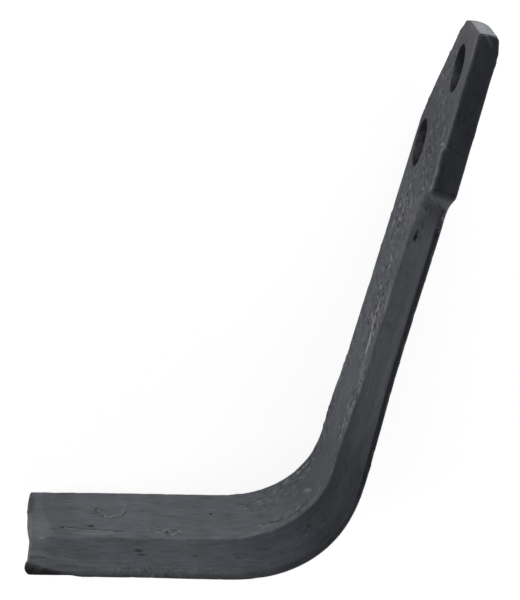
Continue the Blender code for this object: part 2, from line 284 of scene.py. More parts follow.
NOSE_SETBACK_SPAN = (4.6, 2.8)
NOSE_GRAIN = (0.5, 2.2, 2.2, 79, 3)
NOSE_CHAMFER = 0.45
NOSE_CHAMFER_PLACE = 94.0
NOSE_CHAMFER_SLOPE = 0.34
NOSE_CHAMFER_SOFTNESS = 0.7
NOSE_CHAMFER_SPAN = (LEG_WIDTH - 2.5, LEG_WIDTH - 1.0)
SHOULDER_GROOVE = (-90.2, 1.17)
STEP_LINE = (-105.1, 0.42)
STEP_GRAIN = (1.0, 1.4, 3.0, 103, 2)
STEP_LINE_BREADTH = 0.35

# Tone multiplies the paint's colour. Most of it is painted light and shade, which darkens the bevels, the
# bend and the head's side, lightens the ends, shades the blunt edge across its rounding, and lightens the
# flats in some places and darkens them in others. Steps are a first tone, then each tone that it eases to
# with its span. A slope is a first tone, a last one and their span. A shade is a tone and its hump.
FLAT_STEPS = (1.10, (0.94, -76.0, -98.0), (1.25, 22.0, 46.0))
FLAT_SHADES = ((0.86, (-100.0, 24.0)), (0.80, (14.0, 32.0)))
FLAT_TIP_STEPS = (1.0, (0.84, 90.0, 100.0))
TIP_GAP = (TIP_PLACE, 9.8, 1.9, 8.6)
TIP_GAP_REACH = 1.5
TIP_GAP_SHADE = 0.38
BEVEL_STEPS = (0.62, (0.52, -74.0, -58.0), (0.26, -28.0, 10.0), (0.54, 20.0, 38.0), (0.84, 36.0, 60.0))
BEVEL_TIP_STEPS = (0.0, (0.3, 84.0, 100.0))
BEVEL_TIP_HUMP = (0.95, 0.25)
BEVEL_FOOT_LIGHT = (0.04, 0.14)
BEVEL_FOOT_HUMPS = ((-36.0, 44.0), (0.82, 0.18))
BEVEL_BANDS = ((0.08, (0.55, 0.3), (20.0, 22.0)), (0.10, (0.5, 0.25), (-6.0, 17.0)))
BEVEL_SHADE = (0.65, (12.0, 26.0), (0.6, 1.0))
FACET_STEPS = (0.26, (0.84, 0.6 - SHOULDER_HEIGHT, 4.4 - SHOULDER_HEIGHT))
FACET_SOFTNESS = 0.6
SHOULDER_STEP = (0.88, 16.0 - SHOULDER_HEIGHT, 7.0 - SHOULDER_HEIGHT)
SHOULDER_SPAN = (17.0 - SHOULDER_HEIGHT, 12.0 - SHOULDER_HEIGHT)
SHOULDER_EDGE_STEPS = (1.05, (0.6, -83.0, -76.0))
HEAD_SPAN = (0.6 - SHOULDER_HEIGHT, -0.2 - SHOULDER_HEIGHT)
# Painted shade on the head's side, and painted light on the head's and the leg's end faces
HEAD_SIDE_SHADE = 0.46
HEAD_END_LIGHT_STEPS = (3.2, (2.7, 3.5, 7.0))
BLUNT_SLOPE = (0.36, 0.30, -30.0, 2.0)
BEND_EDGE_STEPS = (0.52, (0.22, THICKNESS - 1.1, THICKNESS - 0.3))
BEND_EDGE_SPAN = (0.0, 16.0)
LEG_EDGE_SPAN = (28.0, 54.0)
LEG_EDGE_SLOPE = (1.9, 0.5, THICKNESS - 2.9, THICKNESS)
LEG_RIM_SLOPE = (1.0, 0.4, THICKNESS - 0.9, THICKNESS - 0.3)
LEG_FOOT_SLOPE = (1.2, 1.5, 90.0, 98.0)
LEG_FOOT_BREADTH = 0.9
LEG_END_LIGHT = 1.3
TIP_RIM_SPAN = (TIP_PLACE - 1.6, TIP_PLACE - 0.6)
TIP_RIM_SLOPE = (0.75, 0.4, 3.6, 5.0)

# Wear, where the paint is thin and light, partly painted glints, and the darkest paint, mostly painted shade,
# both from 0 to 1
TIP_BAND_PAINTED_LIGHT = 0.07
TIP_BAND_GRAIN = (1.2, 4.0, 3.0, 97, 3)
TIP_BAND_MIDDLE = 31.0
TIP_BAND_LENGTHS = (5.6, 3.8, 4.0, 14.0)
TIP_BAND_EASES = (-0.6, 0.4)
TIP_BAND_LIGHT = (0.7, 1.35)
TIP_BAND_REACH = 16.0
TIP_BAND_ON_BEVEL = 0.6
TIP_BAND_AT_RIM = 0.5
TIP_BAND_GAP = 0.9
WEAR_GRAIN = (1.0, 4.0, 1.5, 91, 3)
WEAR_SPAN = (2.0 - SHOULDER_HEIGHT, -SHOULDER_HEIGHT)
# A painted highlight along the head's inner corner, brightest near its end
HEAD_LINE_SLOPE = (0.10, 0.22, -STEP_HEIGHT - 2.0, 2.0 - STEP_HEIGHT)
HEAD_LINE_HUMP = (0.5, 0.8)
HEAD_CORNER_GLINT = 0.12
HEAD_CORNER_SPAN = (-127.0, -136.0)
# Painted light on the head's end face
HEAD_END_LIGHT = 0.22
HEAD_END_LIGHT_SPAN = (0.3, 3.0)
HEAD_END_LIGHT_SLOPE = (1.0, 0.6, 4.0, 7.0)
RIDGE_LINE_WEAR = 0.05
RIDGE_LINE_HUMP = (-0.8, 0.7)
CORNER_WEAR = 0.05
CHIP_WEAR = 0.16
CHIP_LINE = 141.6
CHIP_BREADTH = 0.9
CHIP_SPAN = (-135.5, -138.3)
SCAB_WEAR_AND_GLINT = 0.17
# A painted highlight along the ledge below the forging step
STEP_GLINT = 0.06
STEP_GLINT_BELOW = 0.7
# Painted shade in the step's line, the pits, the groove, the facet's line, the seams and beside the scab's
# lip; the nose's worn chamfer is darkest too
STEP_SHADE = 0.75
PIT_SHADE = 0.85
PIT_SHADE_DEPTH = 0.30
GROOVE_SHADE = 0.45
GROOVE_SHADE_BREADTH = 0.35
GROOVE_SHADE_REACH = 8.0
FACET_SHADE = 0.85
FACET_SHADE_HUMP = (0.1, 0.55)
SEAM_SHADE = 2.2
SCAB_SHADE = 0.6
NOSE_DARK = 0.78
NOSE_DARK_GRAIN = (0.3, 1.6, 1.6, 101, 2)
NOSE_DARK_REACH = 0.5

# The paint's colours
PAINT = (0.0905, 0.0960, 0.1070, 1.0)
SHADE_AND_DARK_PAINT = (0.008, 0.008, 0.010, 1.0)
WORN_AND_GLINT = (0.46, 0.46, 0.49, 1.0)
WHITE = (1.0, 1.0, 1.0, 1.0)
SHADE_TINT = (0.92, 0.965, 1.13, 1.0)
EARTH_TINT = (1.045, 1.0, 0.955, 1.0)
STEEL_TINT = (0.97, 1.0, 1.035, 1.0)
ROSE_TINT = (1.03, 0.985, 1.01, 1.0)
MOSS_TINT = (0.975, 1.013, 0.985, 1.0)

# The paint's noises: mottle, streaks, grain, flakes, hollows, strokes and hues. Each is its cells' length and
# breadth, its detail and its roughness. Below them: how strongly they show, and between which levels.
PAINT_NOISES = (
    (9.0, 6.0, 4.0, 0.6),
    (7.0, 1.0, 3.0, 0.6),
    (0.8, 0.8, 3.0, 0.6),
    (2.2, 2.8, 2.0, 0.5),
    (1.9, 2.4, 2.0, 0.6),
    (4.5, 1.3, 2.0, 0.5),
    (13.0, 6.0, 2.0, 0.5),
)
MOTTLE_TONE = 0.75
STREAK_TONE = 0.6
STROKE_TONES = ((0.42, 0.32, -0.22), (0.60, 0.70, 0.18))
GRAIN_TONE = 0.8
PLAIN_GRAIN = 0.5
# In colour, the light flakes on the rough scale are painted glints and the dark hollows painted shade; both
# also go into the bump
FLAKE_SPAN = (0.56, 0.66)
FLAKE_GLINT = 0.40
HOLLOW_SPAN = (0.46, 0.36)
HOLLOW_SHADE = 0.8
PATCH_PLACES = (45.0, 0.0)
PATCH_TONES = (0.7, 0.9)
PATCH_SPAN = (0.42, 0.62)
HUE_SPAN = (0.42, 0.58)
ROUGHNESS = 0.55
GRAIN_ROUGHNESS = 0.3
MOTTLE_ROUGHNESS = 0.25
SPECULAR = 0.2
STREAK_BUMP = 0.3
GRAIN_BUMP = 0.4
FLAKE_BUMP = 2.4
BUMP_STRENGTH = 0.6
BUMP_DISTANCE = 0.00015

# The camera: the turn from the blade's frame to its own, where it stands and how narrow its view is
CAMERA_TURN = (0.332, 0.121, -0.266)
CAMERA_SIDEWAYS = 21.731
CAMERA_UP = -32.733
CAMERA_DISTANCE = 1847.3
CAMERA_LENS = 360.0
SENSOR = 36.0
CLIP_END = 20.0

# The studio. A lamp has an azimuth and an elevation in degrees, a width and a height in metres, and a power.
FLOOR_SIZE = 12.0
FLOOR_COLOUR = (0.8, 0.8, 0.8, 1.0)
FLOOR_GLOW = 0.74
WORLD_LIGHT = 0.12
LAMP_DISTANCE = 1.6
LAMPS = {
    "left_light": (190.0, 11.0, 1.2, 0.5, 14.0),
    "top_light": (95.0, 11.0, 1.2, 0.5, 15.5),
    "outer_light": (318.0, 9.0, 1.4, 0.6, 20.0),
}


def ramp(value, start, end):
    """Rises in a straight line from 0 to 1 as value goes from start to end."""
    return np.clip((value - start) / (end - start), 0.0, 1.0)


def ease(x):
    """Rises smoothly from 0 to 1 as x goes from 0 to 1."""
    x = np.clip(x, 0.0, 1.0)
    return x * x * (3 - 2 * x)


def mix(a, b, share):
    return a + (b - a) * share


def hump(value, middle, reach):
    """A smooth bump: 1 at the middle, falling to 0 one reach away on either side."""
    return ease(1 - np.abs(value - middle) / reach)


def peak(value, middle, reach):
    """A narrow bump: 1 at the middle, and next to nothing two reaches away."""
    return np.exp(-((value - middle) / reach) ** 2)


def slope(value, first, last, start, end):
    """Goes in a straight line from first to last as value goes from start to end."""
    return mix(first, last, ramp(value, start, end))


def stepped(value, steps):
    """Eases from a first level to each following one between where that one starts and where it ends."""
    level = steps[0]
    for following, start, end in steps[1:]:
        level = mix(level, following, ease(ramp(value, start, end)))
    return level


def lattice_noise(points, seed):
    """Smooth noise from -1 to 1 in three dimensions, one cell to each unit."""
    cells = 32
    table = np.random.default_rng(seed).uniform(-1, 1, (cells, cells, cells))
    base = np.floor(points).astype(int)
    share = points - base
    share = share * share * (3 - 2 * share)
    total = np.zeros(points.shape[:-1])
    for corner in np.ndindex(2, 2, 2):
        weight = np.prod(np.where(corner, share, 1 - share), axis=-1)
        index = (base + corner) % cells
        total += weight * table[index[..., 0], index[..., 1], index[..., 2]]
    return total


def layered_noise(points, seed, layers=3, fading=0.5):
    """Several sizes of the same noise, each half as large as the one before."""
    total = np.zeros(points.shape[:-1])
    reach = 0.0
    for layer in range(layers):
        strength = fading ** layer
        total += strength * lattice_noise(points * 2 ** layer + LAYER_OFFSET * layer, seed + layer)
        reach += strength
    return total / reach


def grained(grain, place, width=0.0, depth=0.0):
    """Noise over the skin, from minus to plus its grain's strength."""
    strength, length, breadth, seed, *layers = grain
    points = (place / length, width / breadth + 0 * place, depth / breadth + 0 * place)
    return strength * layered_noise(np.stack(points, axis=-1), seed, *layers)


# The bar's form


def heading(place):
    """The angle that the bar has turned through at a place along it."""
    return BEND_ANGLE * ease(place / BEND_LENGTH)


def bend_path():
    """The inner face round the bend: its places, and its outward and upward positions there."""
    chord = BEND_LENGTH / BEND_CHORDS
    turn = heading((np.arange(BEND_CHORDS) + 0.5) * chord)
    outward = np.concatenate(((0.0,), np.cumsum(-chord * np.sin(turn))))
    upward = np.concatenate(((0.0,), np.cumsum(-chord * np.cos(turn))))
    return np.arange(BEND_CHORDS + 1) * chord, outward, upward


PATH_PLACES, PATH_OUTWARD, PATH_UPWARD = bend_path()


def bar_to_world(place, depth, width):
    """Points of the bar in the world frame, in millimetres."""
    turn = heading(place)
    before = np.minimum(place, 0.0)
    after = np.maximum(place - BEND_LENGTH, 0.0)
    outward = np.interp(place, PATH_PLACES, PATH_OUTWARD) - after * math.sin(BEND_ANGLE)
    upward = np.interp(place, PATH_PLACES, PATH_UPWARD) - before - after * math.cos(BEND_ANGLE)
    points = (outward + depth * np.cos(turn), upward - depth * np.sin(turn), width + 0 * place)
    return np.stack(points, axis=-1) - WORLD_CORNER


def back_edge(place):
    """The back edge's width position: 0, and rising along the head's crowned taper."""
    share = ramp(-place, TAPER_HEIGHT, SHANK_LENGTH)
    return (HEAD_END_WIDTH - HEAD_TIP_WIDTH) * share - 4 * HEAD_TAPER_CROWN * share * (1 - share)


def head_share(place):
    """1 in the head, 0 below the shoulder, and between them along the shoulder."""
    return ease(ramp(-place, SHOULDER_HEIGHT - SHOULDER_LENGTH, SHOULDER_HEIGHT))


def front_edge(place):
    """The width position of the head's side, the shoulder and the cutting edge."""
    blade = mix(NECK_WIDTH, BEND_WIDTH, ease(ramp(place, NECK_EASES_FROM, NECK_EASES_TO)))
    blade = mix(blade, LEG_WIDTH, ease(ramp(place, NECK_EASES_TO, LEG_EASES_TO)))
    head = mix(SHOULDER_WIDTH, HEAD_END_WIDTH, ramp(-place, SHOULDER_HEIGHT, SHANK_LENGTH))
    share = head_share(place)
    return mix(blade, head, share) - SHOULDER_SCOOP * 4 * share * (1 - share)


def inner_face_depth(place):
    """The inner face's depth: 0, and a little proud where the bend has squeezed the steel."""
    return -BEND_SWELL * np.sin(math.pi * ramp(place, SWELL_FROM, SWELL_TO)) ** 2


def outer_face_depth(place, width):
    """The outer face's depth: the thickness, and a little less at the head's dubbed front corner."""
    front = front_edge(place)
    near_end = ramp(-place, SHANK_LENGTH - DUBBED_LENGTH, SHANK_LENGTH)
    return THICKNESS - DUBBED_DEPTH * near_end * ramp(width, front - RIDGE_LAND, front)


def ridge(place):
    """The ridge between the inner face and the bevel, as (depth, width). In the head it is the corner."""
    swell = STEP_SWELL * ease(ramp(-place, STEP_HEIGHT, STEP_HEIGHT - STEP_LENGTH))
    swell = swell * ease(ramp(-place, SHOULDER_HEIGHT - SHOULDER_LENGTH, STEP_HEIGHT))
    runout = ramp(-place, SHOULDER_HEIGHT - RIDGE_RUNOUT, SHOULDER_HEIGHT) ** RIDGE_RUNOUT_POWER
    in_head = -place >= SHOULDER_HEIGHT
    width = np.where(in_head, front_edge(place), mix(FLAT_WIDTH, SHOULDER_WIDTH, runout))
    return inner_face_depth(place) * ~in_head - swell, width


def bevel_foot(place):
    """Where the bevel meets the blunt cutting edge, as (depth, width)."""
    blunt = mix(NECK_BLUNT_EDGE, LEG_BLUNT_EDGE, ease(ramp(place, NECK_EASES_TO, BEND_LENGTH)))
    blunt = mix(blunt, TIP_BLUNT_EDGE, ease(ramp(place, TIP_PLACE - TIP_BLUNT_LENGTH, TIP_PLACE)))
    front = front_edge(place)
    outer = outer_face_depth(place, front)
    crest_depth, crest_width = ridge(place)
    facet = mix(crest_width, front, (outer - blunt - crest_depth) / (outer - crest_depth))
    return outer - blunt, mix(front, facet, ramp(head_share(place), 0.0, 0.5))


def on_ridge(place):
    """1 where the bar has its ridge, and 0 where the ridge has run out towards the head."""
    return 1 - ramp(-place, SHOULDER_HEIGHT - RIDGE_RUNOUT, SHOULDER_HEIGHT - SHOULDER_LENGTH)


def crest_wander(place):
    """How far the forged ridge strays from its straight line, in millimetres of width."""
    ragged = sum(grained(grain, place) for grain in CREST_GRAINS)
    bend_shift = BEND_RIDGE_SHIFT * hump(place, *BEND_RIDGE_HUMP)
    half_runout = 0.5 * RIDGE_RUNOUT
    shoulder_shift = SHOULDER_RIDGE_SHIFT * hump(-place, SHOULDER_HEIGHT - half_runout, half_runout)
    return on_ridge(place) * (ragged - bend_shift) + shoulder_shift


def section(place):
    """The cross-sections at some places along the bar, as (depth, width) points in order round them."""
    flat = np.zeros_like(place)
    inner = inner_face_depth(place)
    crest_depth, crest_width = ridge(place)
    crest_width = crest_width + crest_wander(place)
    foot_depth, foot_width = bevel_foot(place)
    front = front_edge(place)
    back = back_edge(place)
    corners = [
        np.stack((inner, back), axis=-1),
        np.stack((crest_depth, crest_width), axis=-1),
        np.stack((foot_depth, foot_width), axis=-1),
        np.stack((outer_face_depth(place, front), front), axis=-1),
        np.stack((flat + THICKNESS, back), axis=-1),
    ]
    land = np.stack((inner, crest_width - RIDGE_LAND), axis=-1)
    rounds = (EDGE_ROUND, mix(RIDGE_ROUND, HEAD_CORNER_ROUND, head_share(place))[:, None], BEVEL_FOOT_ROUND,
              EDGE_ROUND, EDGE_ROUND)
    starts, ends = [], []
    for k, corner in enumerate(corners):
        before = land if k == BEVEL else corners[k - 1]
        after = corners[(k + 1) % len(corners)]
        towards_before = (before - corner) / np.linalg.norm(before - corner, axis=-1, keepdims=True)
        towards_after = (after - corner) / np.linalg.norm(after - corner, axis=-1, keepdims=True)
        starts.append(corner + towards_before * rounds[k])
        ends.append(corner + towards_after * rounds[k])
    points, sides = [], []
    for k, corner in enumerate(corners):
        for t in np.linspace(0, 1, CORNER_POINTS):
            points.append(starts[k] * (1 - t) ** 2 + corner * 2 * t * (1 - t) + ends[k] * t ** 2)
            sides.append(k - 1 if t < 0.5 else k)
        following = starts[(k + 1) % len(corners)]
        for share in np.arange(1, SIDE_POINTS[k] + 1) / (SIDE_POINTS[k] + 1):
            point = mix(ends[k], following, share)
            if k == INNER:
                rise = ramp(point[:, 1], crest_width - RIDGE_LAND, crest_width)
                point[:, 0] = mix(inner, crest_depth, rise ** RIDGE_LAND_POWER)
            if k == OUTER:
                point[:, 0] = outer_face_depth(place, point[:, 1])
            points.append(point)
            sides.append(k)
    return np.stack(points, axis=1), np.array(sides) % len(corners)


def pulled_in(points, inset):
    """Sections with each side moved in by an inset, for the rounded rims of the two ends."""
    low = points.min(axis=1, keepdims=True)
    high = points.max(axis=1, keepdims=True)
    middle = (low + high) / 2
    return middle + (points - middle) * (1 - 2 * inset[:, None, None] / (high - low))


def drawn_together(points, share):
    """Sections drawn together towards the line down their middle, for the faces of the two ends."""
    low = points.min(axis=1, keepdims=True)
    high = points.max(axis=1, keepdims=True)
    half = (high[..., 0] - low[..., 0]) / 2
    middle_depth = (high[..., 0] + low[..., 0]) / 2
    kept_width = np.clip(points[..., 1], low[..., 1] + half, high[..., 1] - half)
    depth = mix(points[..., 0], middle_depth, share[:, None])
    width = mix(points[..., 1], kept_width, share[:, None])
    return np.stack((depth, width), axis=-1)


def head_end_drop(depth, width):
    """How far the head's end lies below its front inner corner."""
    across = ramp(width, HEAD_END_WIDTH, HEAD_END_WIDTH - HEAD_TIP_WIDTH)
    through = ramp(depth, 0.0, THICKNESS)
    crown = HEAD_END_CROWN * 4 * through * (1 - through)
    return HEAD_END_SLANT * across + HEAD_END_DROOP * through ** HEAD_END_DROOP_POWER - crown


def tip_reach(depth, width):
    """How far the leg's end reaches past its back corner, with the lump on its nose."""
    nose = ease(ramp(width, LEG_WIDTH - LEG_NOSE_WIDTH, LEG_WIDTH))
    lump = NOSE_LUMP * nose ** 2 * hump(depth, *NOSE_LUMP_HUMP)
    lump = lump - NOSE_SETBACK * nose * ramp(depth, *NOSE_SETBACK_SPAN)
    slant = LEG_END_SLANT * ease(ramp(width, TIP_SLANT_FROM, LEG_END_SLANT_WIDTH))
    burrs = sum(height * hump(width, middle, BURR_REACH) for middle, height in BURRS)
    hollow = TIP_HOLLOW * hump(width, *TIP_HOLLOW_HUMP)
    return slant + LEG_NOSE * nose + lump - hollow + burrs * ramp(depth, *BURR_SPAN)


def slanted_place(place, depth, width):
    """The place of a point once the slants of the two ends are laid over the straight sections."""
    near_head = ramp(-place, HEAD_SLANT_HEIGHT, SHANK_LENGTH)
    near_tip = ramp(place, TIP_PLACE - LEG_SLANT_LENGTH, TIP_PLACE)
    return place + near_head * head_end_drop(depth, width) + near_tip * tip_reach(depth, width)


def loft_rows():
    """The skin's rows from the middle of the head's end face to the middle of the leg's end face, as places,
    insets from the section's outline, and shares by which the section is drawn together."""
    angles = np.linspace(math.pi / 2, 0, RIM_SECTIONS, endpoint=False)
    rim_setback = EDGE_ROUND * (1 - np.sin(angles))
    rim_inset = EDGE_ROUND * (1 - np.cos(angles))
    start, end = EDGE_ROUND - SHANK_LENGTH, TIP_PLACE - EDGE_ROUND
    body = np.linspace(start, end, round((end - start) / SECTION_PITCH))
    levels = np.array(CAP_LEVELS)
    cap = np.zeros_like(levels)
    places = (cap - SHANK_LENGTH, rim_setback - SHANK_LENGTH, body,
              TIP_PLACE - rim_setback[::-1], cap + TIP_PLACE)
    insets = (cap + EDGE_ROUND, rim_inset, 0 * body, rim_inset[::-1], cap + EDGE_ROUND)
    shares = (levels[::-1], 0 * rim_inset, 0 * body, 0 * rim_inset, levels)
    return np.concatenate(places), np.concatenate(insets), np.concatenate(shares)


# The marks of forging, shearing and wear. A lift is a height over the plain skin, in millimetres.


def oval_distance(place, width, spot):
    """How far points lie from a spot's middle, counted in the spot's own half length and half breadth."""
    return np.hypot((place - spot[0]) / spot[2], (width - spot[1]) / spot[3])


def roughness_zone(place, width):
    """How rough the inner side and the bevel are at a point, from 0 to 1."""
    ragged = grained(ROUGH_GRAIN, place, width)
    rough = 0 * place
    for *spot, strength in ROUGH_ZONES:
        rough = np.maximum(rough, strength * ease(ROUGH_REACH - oval_distance(place, width, spot) + ragged))
    return rough


def scale_lift(place, depth, width, cover):
    """Thin islands of scale with ragged borders."""
    field = grained(SCALE_GRAIN, place, width, depth)
    fine = grained(FINE_SCALE_GRAIN, place, width, depth)
    islands = ease((field - mix(SCALE_LEVEL, 0.0, cover)) / SCALE_BORDER)
    return SCALE_HEIGHT * islands * (0.8 + 0.4 * fine) + 0.5 * SCALE_HEIGHT * cover * fine


def pit_lift(place, width):
    """Ragged pits with slightly raised rims."""
    ragged = grained(PIT_GRAIN, place, width)
    lift = 0 * place
    for *spot, deep in PITS:
        distance = np.maximum(oval_distance(place, width, spot) + ragged, 0.0)
        rim = PIT_RIM * np.exp(-PIT_RIM_STEEPNESS * (distance - PIT_RIM_DISTANCE) ** 2)
        lift += deep * (rim - np.exp(-PIT_STEEPNESS * distance ** 2))
    return lift


def fleck_cover(place, width, column):
    """The raised flecks' heights, or how light their worn, glinting tops are: a column of their table over
    the skin.
    """
    ragged = grained(FLECK_GRAIN, place, width)
    cover = 0 * place
    for spot in FLECKS:
        distance = oval_distance(place, width, spot) + ragged
        cover = np.maximum(cover, spot[column] * ease(FLECK_REACH - FLECK_STEEPNESS * distance))
    return cover


def scab_distance(place, width):
    """How far points lie from the scab's middle: 1 on its ragged border."""
    return oval_distance(place, width, SCAB) + grained(SCAB_GRAIN, place, width)


def scab_lip(place, width):
    """Where the scab's lip is, from 0 to 1: thick on the side of the ridge and thin on the other."""
    return peak(scab_distance(place, width), *SCAB_LIP_HUMP) * stepped(width, SCAB_LIP_SHARES)


def scab_lift(place, width):
    """A lapped scab on the leg: a thin plateau with a ragged lip round most of it."""
    plateau = SCAB_PLATEAU * ease((SCAB_EDGE - scab_distance(place, width)) / SCAB_EDGE_SOFTNESS)
    return plateau + SCAB_LIP * scab_lip(place, width)


def off_seam(place, width, line):
    """How far points lie from a seam's line, negative on its side of the back edge, and the share of the line
    that lies behind them."""
    lengths = [math.dist(a, b) for a, b in zip(line, line[1:])]
    nearest = np.full(place.shape, np.inf)
    off = np.zeros(place.shape)
    share = np.zeros(place.shape)
    for k, ((place_a, width_a), (place_b, width_b)) in enumerate(zip(line, line[1:])):
        run, rise = place_b - place_a, width_b - width_a
        along = np.clip(((place - place_a) * run + (width - width_a) * rise) / lengths[k] ** 2, 0.0, 1.0)
        beside = width - width_a - along * rise
        distance = np.hypot(place - place_a - along * run, beside)
        closer = distance < nearest
        nearest = np.where(closer, distance, nearest)
        off = np.where(closer, np.copysign(distance, beside), off)
        share = np.where(closer, (sum(lengths[:k]) + along * lengths[k]) / sum(lengths), share)
    return off, share


def seam_profile(place, width, line, breadth):
    """A seam's lip and groove at a point, each from 0 to 1."""
    off, share = off_seam(place, width, line)
    off = off / breadth + grained(SEAM_GRAIN, place, width)
    fade = ease(np.minimum(share, 1 - share) / SEAM_FADE + 0.25)
    broken = 0.65 + grained(SEAM_GAP_GRAIN, place, width)
    return fade * broken * peak(off, 0.0, 1.0), fade * peak(off, *SEAM_GROOVE_HUMP)


def ridge_lift(place, width, crest_width):
    """The raised lip that runs raggedly along the ridge, thickest in the bend."""
    ragged = 0.5 + grained(RIDGE_GRAIN, place)
    height = mix(RIDGE_LIP, BEND_LIP, hump(place, *BEND_LIP_HUMP))
    return on_ridge(place) * height * ragged * peak(width - crest_width, *RIDGE_LIP_HUMP)


def nose_wear(place, depth, width):
    """Where the leg's outer corner is worn to a dark lumpy chamfer, from 0 to 1."""
    border = THICKNESS - NOSE_CHAMFER_SLOPE * (place - NOSE_CHAMFER_PLACE)
    ragged = grained(NOSE_GRAIN, place, width, depth)
    worn_away = ease((depth - border + ragged) / NOSE_CHAMFER_SOFTNESS + 0.5)
    return worn_away * ramp(width, *NOSE_CHAMFER_SPAN)


# What the paint shows. Tone multiplies the paint's colour and is mostly painted light and shade, and the
# others go from 0 to 1.


def past_groove(place, depth):
    """How far points lie past the groove between the bevel and the shoulder's facet, towards the head."""
    return SHOULDER_GROOVE[0] + SHOULDER_GROOVE[1] * depth - place


def step_line(place, depth, below):
    """The broken line that the forging step leaves across the head's side, or a line so far below it."""
    off = place - below - STEP_LINE[0] - STEP_LINE[1] * depth
    broken = ease(0.6 + grained(STEP_GRAIN, depth, place))
    return peak(off, 0.0, STEP_LINE_BREADTH) * broken * ramp(THICKNESS - 1.0 - depth, 0.0, 2.0)


def tip_gap(place, width):
    """The dull patch beside the leg's back corner: painted shade, where the end has no painted light band."""
    return ease(TIP_GAP_REACH - oval_distance(place, width, TIP_GAP))


def tone_and_painted_light(place, depth, width, crest_width, foot, side, on_end):
    """The paint's tone, mostly painted light and shade: on the sides, the ends, the bend and the blunt edge.
    """
    foot_depth, foot_width = foot
    in_head = ease(ramp(place, *HEAD_SPAN))
    flat = stepped(place, FLAT_STEPS)
    for shade, middle in FLAT_SHADES:
        flat = flat * mix(1.0, shade, hump(place, *middle))
    flat = flat * stepped(place, FLAT_TIP_STEPS) * (1 - TIP_GAP_SHADE * tip_gap(place, width))

    across = ramp(width, crest_width, np.maximum(foot_width, crest_width + 0.5))
    bevel = stepped(place, BEVEL_STEPS)
    bevel = bevel + hump(across, *BEVEL_TIP_HUMP) * stepped(place, BEVEL_TIP_STEPS)
    along_foot, beside_foot = BEVEL_FOOT_HUMPS
    bevel = bevel + mix(*BEVEL_FOOT_LIGHT, hump(place, *along_foot)) * hump(across, *beside_foot)
    for light, beside, along in BEVEL_BANDS:
        bevel = bevel + light * hump(across, *beside) * hump(place, *along)
    shade, middle, span = BEVEL_SHADE
    bevel = bevel * mix(1.0, shade, hump(place, *middle) * ramp(across, *span))
    on_facet = ease(past_groove(place, depth) / FACET_SOFTNESS + 0.5)
    shoulder = mix(stepped(place, (bevel, SHOULDER_STEP)), stepped(place, FACET_STEPS), on_facet)
    near_shoulder = ease(ramp(place, *SHOULDER_SPAN))
    bevel = mix(mix(bevel, shoulder, near_shoulder), HEAD_SIDE_SHADE, in_head)

    edge = slope(depth, *LEG_EDGE_SLOPE) * slope(depth, *LEG_RIM_SLOPE)
    past_foot = ease(ramp(depth, foot_depth, foot_depth + LEG_FOOT_BREADTH))
    edge = mix(slope(place, *LEG_FOOT_SLOPE), edge, past_foot)
    edge = edge * slope(place, 1.0, slope(depth, *TIP_RIM_SLOPE), *TIP_RIM_SPAN)
    in_bend = ease(ramp(place, *BEND_EDGE_SPAN))
    blunt = mix(slope(place, *BLUNT_SLOPE), stepped(depth, BEND_EDGE_STEPS), in_bend)
    blunt = mix(blunt, edge, ease(ramp(place, *LEG_EDGE_SPAN)))
    blunt = mix(blunt, shoulder * stepped(place, SHOULDER_EDGE_STEPS), near_shoulder)
    blunt = mix(blunt, HEAD_SIDE_SHADE, in_head)

    on_sides = np.select([side == INNER, side == BEVEL, side == BLUNT], [flat, bevel, blunt], 1.0)
    return mix(on_sides, np.where(place < 0, stepped(depth, HEAD_END_LIGHT_STEPS), LEG_END_LIGHT), on_end)


def tip_band(place, depth, width, side):
    """The lighter band along the sheared end of the leg's inner side: painted light where the end rolls over.
    """
    ragged = grained(TIP_BAND_GRAIN, place, width, depth)
    start = TIP_PLACE - slope(np.abs(width - TIP_BAND_MIDDLE), *TIP_BAND_LENGTHS)
    before, after = TIP_BAND_EASES
    band = ease(ramp(place + ragged, start + before, start + after))
    band = band * mix(TIP_BAND_ON_BEVEL, 1.0, side == INNER)
    band = band * mix(*TIP_BAND_LIGHT, hump(width, TIP_BAND_MIDDLE, TIP_BAND_REACH)) * (side <= BEVEL)
    band = band * (1 - TIP_BAND_GAP * tip_gap(place, width))
    return band * slope(place, 1.0, TIP_BAND_AT_RIM, *TIP_RIM_SPAN)


